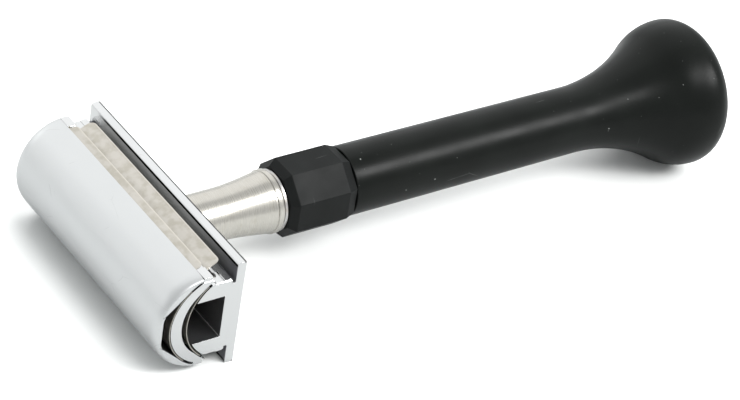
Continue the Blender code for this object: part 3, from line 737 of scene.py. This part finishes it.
def guard_section(lug_share):
    """Closed outline (x, z) of the guard, its lugs raised by lug_share from nothing to their full height."""
    turn = np.linspace(0.0, math.pi / 2, 7)
    wave = np.stack([np.cos(turn), np.sin(turn)], axis=-1)
    rear_edge = (-PLATE_REAR_EDGE, PLATE_HALF_HEIGHT - PLATE_REAR_EDGE) + PLATE_REAR_EDGE * wave
    front_edge = (-PLATE_THICKNESS + PLATE_FRONT_EDGE, PLATE_HALF_HEIGHT - PLATE_FRONT_EDGE)
    front_edge = front_edge + PLATE_FRONT_EDGE * wave[:, ::-1] * (-1.0, 1.0)
    base = LIMB_HALF_HEIGHT
    top = base + (LUG["top"] - base) * lug_share
    ridge = base + (LUG["ridge_top"] - base) * lug_share
    soft = 0.06 * lug_share
    groove_x = -PLATE_THICKNESS - GROOVE_WIDTH
    steps = np.array([
        (-PLATE_THICKNESS, base), (-PLATE_THICKNESS, GROOVE_FLOOR),
        (groove_x, GROOVE_FLOOR), (groove_x, base),
        (LUG["rear_x"], base), (LUG["rear_x"], ridge - soft), (LUG["rear_x"] - soft, ridge),
        (LUG["ridge_x"] + soft, ridge), (LUG["ridge_x"], ridge - soft), (LUG["ridge_x"], top),
        (LUG["front_x"] + soft, top), (LUG["front_x"], top - soft), (LUG["front_x"], base),
    ])
    arc_z = np.linspace(LIMB_HALF_HEIGHT, CHANNEL_HALF_HEIGHT, 13)
    limb = np.stack([seat_x(arc_z, LOWER_BEND_X, GUARD_ARC), arc_z], axis=-1)
    half = np.vstack([rear_edge, front_edge, steps, limb, [(CHANNEL_FLOOR_X, CHANNEL_HALF_HEIGHT)]])
    return np.vstack([half, half[::-1] * (1.0, -1.0)])


def carve(piece, tool_points, tool_faces, operation):
    """The piece with a closed tool cut out of it or joined to it."""
    tool = make_piece("tool", tool_points, tool_faces, piece.data.materials[0])
    change = piece.modifiers.new("carve", "BOOLEAN")
    change.object = tool
    change.operation = operation
    change.solver = "EXACT"
    carved = bpy.data.meshes.new_from_object(piece.evaluated_get(bpy.context.evaluated_depsgraph_get()))
    piece.modifiers.remove(change)
    piece.data = carved
    bpy.data.objects.remove(tool)


def plain_cylinder(radius, start_x, end_x, around=96):
    """Points and faces of a capped cylinder on the handle's axis."""
    x = np.array((start_x, start_x, end_x, end_x))
    radii = np.array((0.0, radius, radius, 0.0))
    return turned_points(x, radii, around).reshape(-1, 3), grid_faces(4, around, wrap_columns=True)


lug_end = HALF_LENGTH - CORNER_INSET
stations = [(-HALF_LENGTH, 0), (-lug_end, 0), (-lug_end, 1), (-CORNER_INNER_Y, 1), (-CORNER_INNER_Y, 0)]
stations += [(-y, share) for y, share in reversed(stations)]
sections = [guard_section(share) for y, share in stations]
count = len(sections[0])
guard_points = np.concatenate([
    np.column_stack([section[:, 0], np.full(count, y), section[:, 1]])
    for section, (y, share) in zip(sections, stations)
])
guard_faces = grid_faces(len(stations), count, wrap_columns=True).tolist()
guard_faces += [list(range(count)), [len(guard_points) - count + i for i in range(count)]]


def guard_finish():
    """The polished chrome, with dark bands painted along the plate where it would mirror dark surroundings.

    They are read from the height in mm from the middle. The plate's front is grey up to 8.5, darker
    towards the near end and clear at the far one. A thin dark line ends the grey, and a finer one follows
    the rear edge of its top. A painted highlight brightens the channel's corners.
    """
    finish = chrome_finish("guard_chrome_finish", (0.63, 0.635, 0.635), 0.07, 0.16, 7.0)
    tree = finish.node_tree
    shader = tree.nodes["Principled BSDF"]
    place = add_node(tree, "ShaderNodeSeparateXYZ", {"Vector": razor_coordinates(tree)}).outputs
    height = arithmetic(tree, "ABSOLUTE", place["Z"], 0.0)

    def band(socket, low, high):
        """1 where the socket lies between low and high, with an edge 0.06 mm wide."""
        rise = spread(tree, socket, low - 0.03, low + 0.03)
        return arithmetic(tree, "MULTIPLY", rise, spread(tree, socket, high - 0.03, high + 0.03, 1.0, 0.0))

    front = band(place["X"], -PLATE_THICKNESS - 0.08, -PLATE_THICKNESS + 0.06)
    front = arithmetic(tree, "MULTIPLY", front, spread(tree, place["Y"], 17.0, 19.5, 1.0, 0.0))
    # painted reflections: the grey band on the plate's front, the dark line above it and the line along the
    # rear edge
    grey = arithmetic(tree, "MULTIPLY", front, band(height, 5.9, 8.5))
    line = arithmetic(tree, "MULTIPLY", front, band(height, 8.5, 8.92))
    rear = arithmetic(tree, "MULTIPLY", band(place["X"], -0.30, 0.1), band(height, 9.0, 9.4))
    # painted reflection: the plate's grey band is mid grey at the far end and near black at the near end
    wear_and_painted_reflection = mix_colour(tree, spread(tree, place["Y"], -20.5, -8.0), (0.10, 0.10, 0.11), (0.5, 0.5, 0.49))
    # painted highlight: a light line along each corner of the channel's floor
    corner = arithmetic(
        tree, "MULTIPLY", band(place["X"], CHANNEL_FLOOR_X - 0.14, CHANNEL_FLOOR_X + 0.1),
        band(height, CHANNEL_HALF_HEIGHT - 0.14, CHANNEL_HALF_HEIGHT + 0.1))
    colour = shader.inputs["Base Color"].links[0].from_socket
    for mask, shade in ((grey, wear_and_painted_reflection), (line, (0.02,) * 3), (rear, (0.06,) * 3), (corner, (0.8,) * 3)):
        colour = mix_colour(tree, mask, colour, shade)
    feed(shader, "Base Color", colour)
    gloss = shader.inputs["Roughness"].links[0].from_socket
    feed(shader, "Roughness", mix_value(tree, grey, gloss, 0.5))
    feed(shader, "Metallic", spread(tree, grey, 0.0, 1.0, 1.0, 0.25))
    return finish


guard = make_piece("guard_casting", guard_points, guard_faces, guard_finish())
carve(guard, *plain_cylinder(BOSS_RADIUS, CHANNEL_FLOOR_X - BOSS_HEIGHT, -PLATE_THICKNESS), "UNION")
carve(guard, *plain_cylinder(STUD_HOLE, CHANNEL_FLOOR_X - 1.0, 1.0), "DIFFERENCE")


def in_channel_or_groove(x, y, z):
    """On the channel's floor and walls, short of the ends of the head, or on the floor of either groove."""
    channel = (np.abs(z) < CHANNEL_HALF_HEIGHT + 0.01) & (x < CHANNEL_FLOOR_X + 0.01)
    groove = (np.abs(np.abs(z) - GROOVE_FLOOR) < 0.01) & (x < -PLATE_THICKNESS + 0.01)
    return (channel | groove) & (np.abs(y) < HALF_LENGTH - 0.1)


# painted shade: the channel's floor and walls and the grooves' floors are coloured dark grey
mark_painted_shade(guard, in_channel_or_groove)
guard.data.shade_smooth()
guard.data.set_sharp_from_angle(angle=math.radians(30.0))
soften(guard, 0.12, 3)
fit(guard, "guard_body", "guard")

# ---- Ferrule --------------------------------------------------------------------------------------------
# The bright neck, turned from steel bar and left with its fine tool marks. It flares to a narrow rim with a
# fine groove behind it, and is tapped at both ends, for the cap's stud and for the rod in the grip.
ferrule_low, ferrule_high = span("ferrule")
NECK_RADIUS = 4.08
NECK_STRAIGHT_END_X = 8.5
NECK_FLARE_END_X = 17.1
NECK_FLARE_RADIUS = 4.92
RIM_RADIUS = 5.05
BORE_RADIUS = 2.7
ROD_BORE_RADIUS = 2.3
STUD_BORE_END_X = 9.5
ROD_BORE_START_X = 12.2


def neck_radius(x):
    """Straight neck that swells along a quarter sine wave towards the rim."""
    run = np.clip((x - NECK_STRAIGHT_END_X) / (NECK_FLARE_END_X - NECK_STRAIGHT_END_X), 0.0, 1.0)
    return NECK_RADIUS + (NECK_FLARE_RADIUS - NECK_RADIUS) * (1.0 - np.cos(math.pi / 2 * run))


def ferrule_profile():
    """(x, radius) from the rod's bore, round the rim and down the neck, into the stud's bore."""
    end = ferrule_high[0]
    rod_bore = [(ROD_BORE_START_X, 0.0), (ROD_BORE_START_X, ROD_BORE_RADIUS), (end, ROD_BORE_RADIUS)]
    rim = [(end, RIM_RADIUS - 0.12), (end - 0.04, RIM_RADIUS - 0.04), (end - 0.12, RIM_RADIUS)]
    rim += [(NECK_FLARE_END_X + 0.16, RIM_RADIUS), (NECK_FLARE_END_X + 0.06, RIM_RADIUS - 0.03)]
    rim += [(NECK_FLARE_END_X, NECK_FLARE_RADIUS - 0.03)]
    x = np.linspace(NECK_FLARE_END_X - 0.08, ferrule_low[0] + 0.25, 60)
    neck = list(zip(x, neck_radius(x)))
    front = [(ferrule_low[0] + 0.06, NECK_RADIUS - 0.06), (ferrule_low[0], NECK_RADIUS - 0.2)]
    bore = [(ferrule_low[0], BORE_RADIUS), (STUD_BORE_END_X, BORE_RADIUS), (STUD_BORE_END_X, 0.0)]
    return rod_bore + rim + neck + front + bore


# lathe_rings: the spiral that a tool leaves on turned metal. Noise that changes only along the handle.
lathe, given, result = node_group(
    "lathe_rings", {"Vector": "Vector", "Pitch": "Float"}, {"Height": "Float", "Tone": "Float"}
)
apart = add_node(lathe, "ShaderNodeSeparateXYZ", {"Vector": given.outputs["Vector"]})
wander = arithmetic(lathe, "MULTIPLY", apart.outputs["Y"], 0.02)
ring_place = add_node(lathe, "ShaderNodeCombineXYZ", {"X": apart.outputs["X"], "Y": wander}).outputs[0]
rings_per_mm = arithmetic(lathe, "DIVIDE", 1.0, given.outputs["Pitch"])
coarse = noise(lathe, ring_place, arithmetic(lathe, "MULTIPLY", rings_per_mm, 0.12))
feed(result, "Height", noise(lathe, ring_place, rings_per_mm, 3.0))
feed(result, "Tone", coarse)


def turned_finish():
    """Turned steel: rings across the handle in its gloss and height, warm, with small drops of tarnish."""
    colour = (0.54, 0.52, 0.475)
    finish, tree, shader = start_finish("turned_steel_finish", colour, 1.0, 0.26)
    own = razor_coordinates(tree)
    rings = use_group(tree, lathe, {"Vector": own, "Pitch": 0.07})
    feed(shader, "Roughness", spread(tree, rings.outputs["Height"], 0.3, 0.7, 0.24, 0.32))
    tarnish = spread(tree, noise(tree, own, 0.7, 5.0), 0.5, 0.72)
    aged = mix_colour(tree, tarnish, colour, (0.48, 0.455, 0.40))
    band = spread(tree, rings.outputs["Tone"], 0.35, 0.65)
    feed(shader, "Base Color", mix_colour(tree, band, [c * 0.95 for c in colour], aged))
    bump(tree, shader, rings.outputs["Height"], 0.14, 0.01)
    return finish


turned_steel = turned_finish()
neck = turned_piece("turned_neck", ferrule_profile(), turned_steel, 160, smooth_angle=35.0)
fit(neck, "ferrule", "handle")

# ---- Neck washer ----------------------------------------------------------------------------------------
# A thin steel washer between the ferrule and the collar. Only its rim shows, as a dark line.
washer_low, washer_high = span("neck_washer")
washer_radius = washer_high[1]
WASHER_EDGE = 0.08
washer_profile = [
    (washer_high[0], ROD_BORE_RADIUS), (washer_high[0], washer_radius - WASHER_EDGE),
    (washer_high[0] - WASHER_EDGE, washer_radius), (washer_low[0] + WASHER_EDGE, washer_radius),
    (washer_low[0], washer_radius - WASHER_EDGE), (washer_low[0], ROD_BORE_RADIUS),
]
washer = turned_piece("thin_washer", washer_profile, plain_steel, 96)
fit(washer, "neck_washer", "handle")

# ---- Collar ---------------------------------------------------------------------------------------------
# The matte black eight-sided collar, moulded in hard rubber and then milled. Every flat has its own chamfer
# at each end, steep at the front and long at the rear, and the corners between the flats are just eased.
collar_low, collar_high = span("collar")
COLLAR_HALF_FLATS = 5.9
CORNER_EASE = 0.12
FRONT_CHAMFER = (1.2, 1.0)
REAR_CHAMFER = (1.6, 0.6)


def eight_sided(half_flats, ease):
    """Outline (y, z) of an octagon: five points on each flat, then a small arc at each corner."""
    half_side = (half_flats - ease) * math.tan(math.pi / 8)
    along = np.linspace(-half_side, half_side, 5)
    flat = np.stack([np.full(5, half_flats), along], axis=-1)
    turn = np.linspace(0.0, math.pi / 4, 5)[1:-1]
    arc = np.stack([half_flats - ease + ease * np.cos(turn), half_side + ease * np.sin(turn)], axis=-1)
    side = np.vstack([flat, arc])
    angles = np.arange(8) * math.pi / 4
    cosine, sine = np.cos(angles), np.sin(angles)
    spin = np.stack([np.stack([cosine, -sine]), np.stack([sine, cosine])])
    return np.einsum("ijk,nj->kni", spin, side).reshape(-1, 2)


def collar_surface():
    """Rings of the octagon from the front bore's edge, over both chamfers, to the rear bore's edge."""
    front, rear = collar_low[0], collar_high[0]
    (front_run, front_drop), (rear_run, rear_drop) = FRONT_CHAMFER, REAR_CHAMFER
    full, bend = COLLAR_HALF_FLATS, 0.07
    stops = [
        (front, full - front_drop - bend), (front + bend, full - front_drop + bend * 0.5),
        (front + front_run - bend, full - bend * 0.8), (front + front_run, full - bend * 0.15),
        (front + front_run + bend, full), (rear - rear_run - bend, full),
        (rear - rear_run, full - bend * 0.15), (rear - rear_run + bend, full - bend * 0.8),
        (rear - bend, full - rear_drop + bend * 0.5), (rear, full - rear_drop - bend),
    ]
    rings = []
    for x, half_flats in stops:
        outline = eight_sided(half_flats, CORNER_EASE)
        rings.append(np.column_stack([np.full(len(outline), x), outline]))
    around = np.arctan2(rings[0][:, 2], rings[0][:, 1])
    for x in (rear, front):
        rings.append(np.column_stack([
            np.full(len(around), x), ROD_BORE_RADIUS * np.cos(around), ROD_BORE_RADIUS * np.sin(around)]))
    return np.concatenate(rings), grid_faces(len(rings), len(around), wrap_rows=True, wrap_columns=True)


# dust: specks of lint and grit, in cells of which only a share hold one, each of its own size.
dust, given, result = node_group(
    "dust", {"Vector": "Vector", "Size": "Float", "Speck": "Float", "Share": "Float"}, {"Mask": "Float"}
)
size = arithmetic(dust, "DIVIDE", 1.0, given.outputs["Size"])
cells = add_node(dust, "ShaderNodeTexVoronoi", {"Vector": given.outputs["Vector"], "Scale": size})
odds = add_node(dust, "ShaderNodeSeparateColor", {"Color": cells.outputs["Color"]})
held = arithmetic(dust, "LESS_THAN", odds.outputs["Red"], given.outputs["Share"])
speck = arithmetic(dust, "MULTIPLY", odds.outputs["Green"], given.outputs["Speck"])
inner = arithmetic(dust, "MULTIPLY", speck, 0.5)
near = spread(dust, cells.outputs["Distance"], inner, speck, 1.0, 0.0)
feed(result, "Mask", arithmetic(dust, "MULTIPLY", near, held))


def rubber_finish(name, colour, smooth, dull, share):
    """Hard black rubber: a fine moulded grain, cloudy gloss, light hairlines, and specks of dust."""
    finish, tree, shader = start_finish(name, colour, 0.0, smooth)
    shader.inputs["Specular IOR Level"].default_value = 0.11
    own = razor_coordinates(tree)
    marks = use_group(tree, wiping, {"Vector": own, "Size": 6.0, "Smooth": smooth, "Dull": dull})
    lines = use_group(tree, hairlines, {"Vector": own, "Size": 14.0, "Width": 0.0035, "Share": 0.36})
    specks = use_group(tree, dust, {"Vector": own, "Size": 1.8, "Speck": 0.085, "Share": share})
    grit = use_group(tree, dust, {"Vector": own, "Size": 0.8, "Speck": 0.11, "Share": share})
    pale = specks.outputs["Mask"]
    for fainter, share_of_it in ((grit, 0.5), (lines, 0.35)):
        faint = arithmetic(tree, "MULTIPLY", fainter.outputs["Mask"], share_of_it)
        pale = arithmetic(tree, "MAXIMUM", pale, faint)
    cloud = spread(tree, noise(tree, own, 0.15, 4.0), 0.35, 0.7)
    wear_and_painted_reflection = mix_colour(tree, cloud, colour, [c * 1.35 for c in colour])
    feed(shader, "Base Color", mix_colour(tree, pale, wear_and_painted_reflection, (0.26, 0.27, 0.26)))
    rougher = arithmetic(tree, "MULTIPLY", pale, 0.2)
    gloss = arithmetic(tree, "ADD", marks.outputs["Roughness"], rougher)
    feed(shader, "Roughness", gloss)
    bump(tree, shader, marks.outputs["Height"], 0.25, 0.02)
    return finish


black_collar = rubber_finish("black_collar_finish", (0.0055, 0.0062, 0.0060), 0.42, 0.55, 0.10)
collar_points, collar_faces = collar_surface()
collar = make_piece("octagon_collar", collar_points, collar_faces, black_collar, 50.0)
collar.modifiers.new("even_normals", "WEIGHTED_NORMAL").keep_sharp = True
fit(collar, "collar", "handle")

# ---- Grip -----------------------------------------------------------------------------------------------
# The handle, turned and polished from hard black rubber: a straight tube that opens like a trumpet into a
# round butt. It is bored for the rod, and a pocket in the butt takes the washer, the nut and a plug.
grip_low, grip_high = span("grip")
GRIP_FRONT_RADIUS = 5.55
GRIP_RADIUS = 5.4
GRIP_EDGE = 0.15
FLARE_START_X = 75.0
FLARE_RADIUS = 30.0
FLARE_ANGLE = math.radians(34.0)
SHOULDER_RADIUS = 9.5
BUTT_RIM = 3.7
POCKET_RADIUS = 4.8
POCKET_FLOOR_X = 92.6
PLUG_SEAT_RADIUS = 6.15
PLUG_SEAT_DEPTH = 2.35
BUTT_RADIUS = grip_high[1]
BUTT_WIDEST_X = grip_high[0] - BUTT_RIM


def sweep(centre_x, centre_r, radius, start, end, steps):
    """Points on an arc about (centre_x, centre_r), at angles from the outward direction towards the butt."""
    turn = np.linspace(start, end, steps)
    return list(zip(centre_x + radius * np.sin(turn), centre_r + radius * np.cos(turn)))


def grip_profile():
    """(x, radius) from the butt's end, forward over the flare to the front edge, back down the bores."""
    rim = sweep(BUTT_WIDEST_X, BUTT_RADIUS - BUTT_RIM, BUTT_RIM, math.pi / 2, 0.0, 25)
    shoulder = sweep(BUTT_WIDEST_X, BUTT_RADIUS - SHOULDER_RADIUS, SHOULDER_RADIUS, 0.0, -FLARE_ANGLE, 17)
    flare = sweep(FLARE_START_X, GRIP_RADIUS + FLARE_RADIUS, -FLARE_RADIUS, -FLARE_ANGLE, 0.0, 41)
    tube_x = np.linspace(FLARE_START_X, grip_low[0] + GRIP_EDGE, 24)[1:]
    taper = (GRIP_FRONT_RADIUS - GRIP_RADIUS) / (FLARE_START_X - grip_low[0])
    tube = list(zip(tube_x, GRIP_RADIUS + (FLARE_START_X - tube_x) * taper))
    edge_x, edge_radius = grip_low[0] + GRIP_EDGE, GRIP_FRONT_RADIUS - GRIP_EDGE
    front = sweep(edge_x, edge_radius, GRIP_EDGE, 0.0, -math.pi / 2, 7)[1:]
    bore = [(grip_low[0], ROD_BORE_RADIUS), (POCKET_FLOOR_X, ROD_BORE_RADIUS)]
    bore += [(POCKET_FLOOR_X, POCKET_RADIUS)]
    seat_end = grip_high[0] - PLUG_SEAT_DEPTH
    seat = [(seat_end, POCKET_RADIUS), (seat_end, PLUG_SEAT_RADIUS), (grip_high[0], PLUG_SEAT_RADIUS)]
    return rim + shoulder[1:] + flare[1:] + tube + front + bore + seat


black_resin = rubber_finish("black_rubber_finish", (0.0040, 0.0048, 0.0042), 0.28, 0.38, 0.30)
handle_grip = turned_piece("trumpet_grip", grip_profile(), black_resin, 160, smooth_angle=40.0)
fit(handle_grip, "grip", "handle")

# ---- Rod, washer and nut --------------------------------------------------------------------------------
# A steel rod screwed into the ferrule runs through the collar and the grip. A brass washer and a hexagon nut
# in the butt's pocket draw them together. They are closed in, so their plain turned shapes stay.


def brass_finish():
    """Machined brass: rings across the handle and a brown bloom in places."""
    colour = (0.74, 0.55, 0.27)
    finish, tree, shader = start_finish("machined_brass", colour, 1.0, 0.3)
    own = razor_coordinates(tree)
    rings = use_group(tree, lathe, {"Vector": own, "Pitch": 0.15})
    bloom = spread(tree, noise(tree, own, 0.6, 4.0), 0.45, 0.7)
    feed(shader, "Base Color", mix_colour(tree, bloom, colour, (0.50, 0.34, 0.15)))
    feed(shader, "Roughness", spread(tree, rings.outputs["Height"], 0.3, 0.7, 0.24, 0.4))
    bump(tree, shader, rings.outputs["Height"], 0.3, 0.012)
    return finish


brass = brass_finish()
for node, finish in (("tie_rod", plain_steel), ("rod_washer", brass), ("rod_nut", brass)):
    frame["nodes"][node].data.materials.clear()
    frame["nodes"][node].data.materials.append(finish)

# ---- Plug -----------------------------------------------------------------------------------------------
# A disc of the same black rubber, pressed into the butt over the nut and faced off level with it. Its edge
# is eased, so a fine ring shows round it.
plug_low, plug_high = span("butt_plug")
plug_radius = plug_high[1]
PLUG_EDGE = 0.3
plug_profile = [(plug_high[0], 0.0), (plug_high[0], plug_radius * 0.5)]
plug_profile += rounded_rim(plug_high[0], plug_radius, PLUG_EDGE)[::-1]
plug_profile += [(plug_low[0], plug_radius), (plug_low[0], 0.0)]
plug = turned_piece("pressed_plug", plug_profile, black_resin, 128)
fit(plug, "butt_plug", "handle")
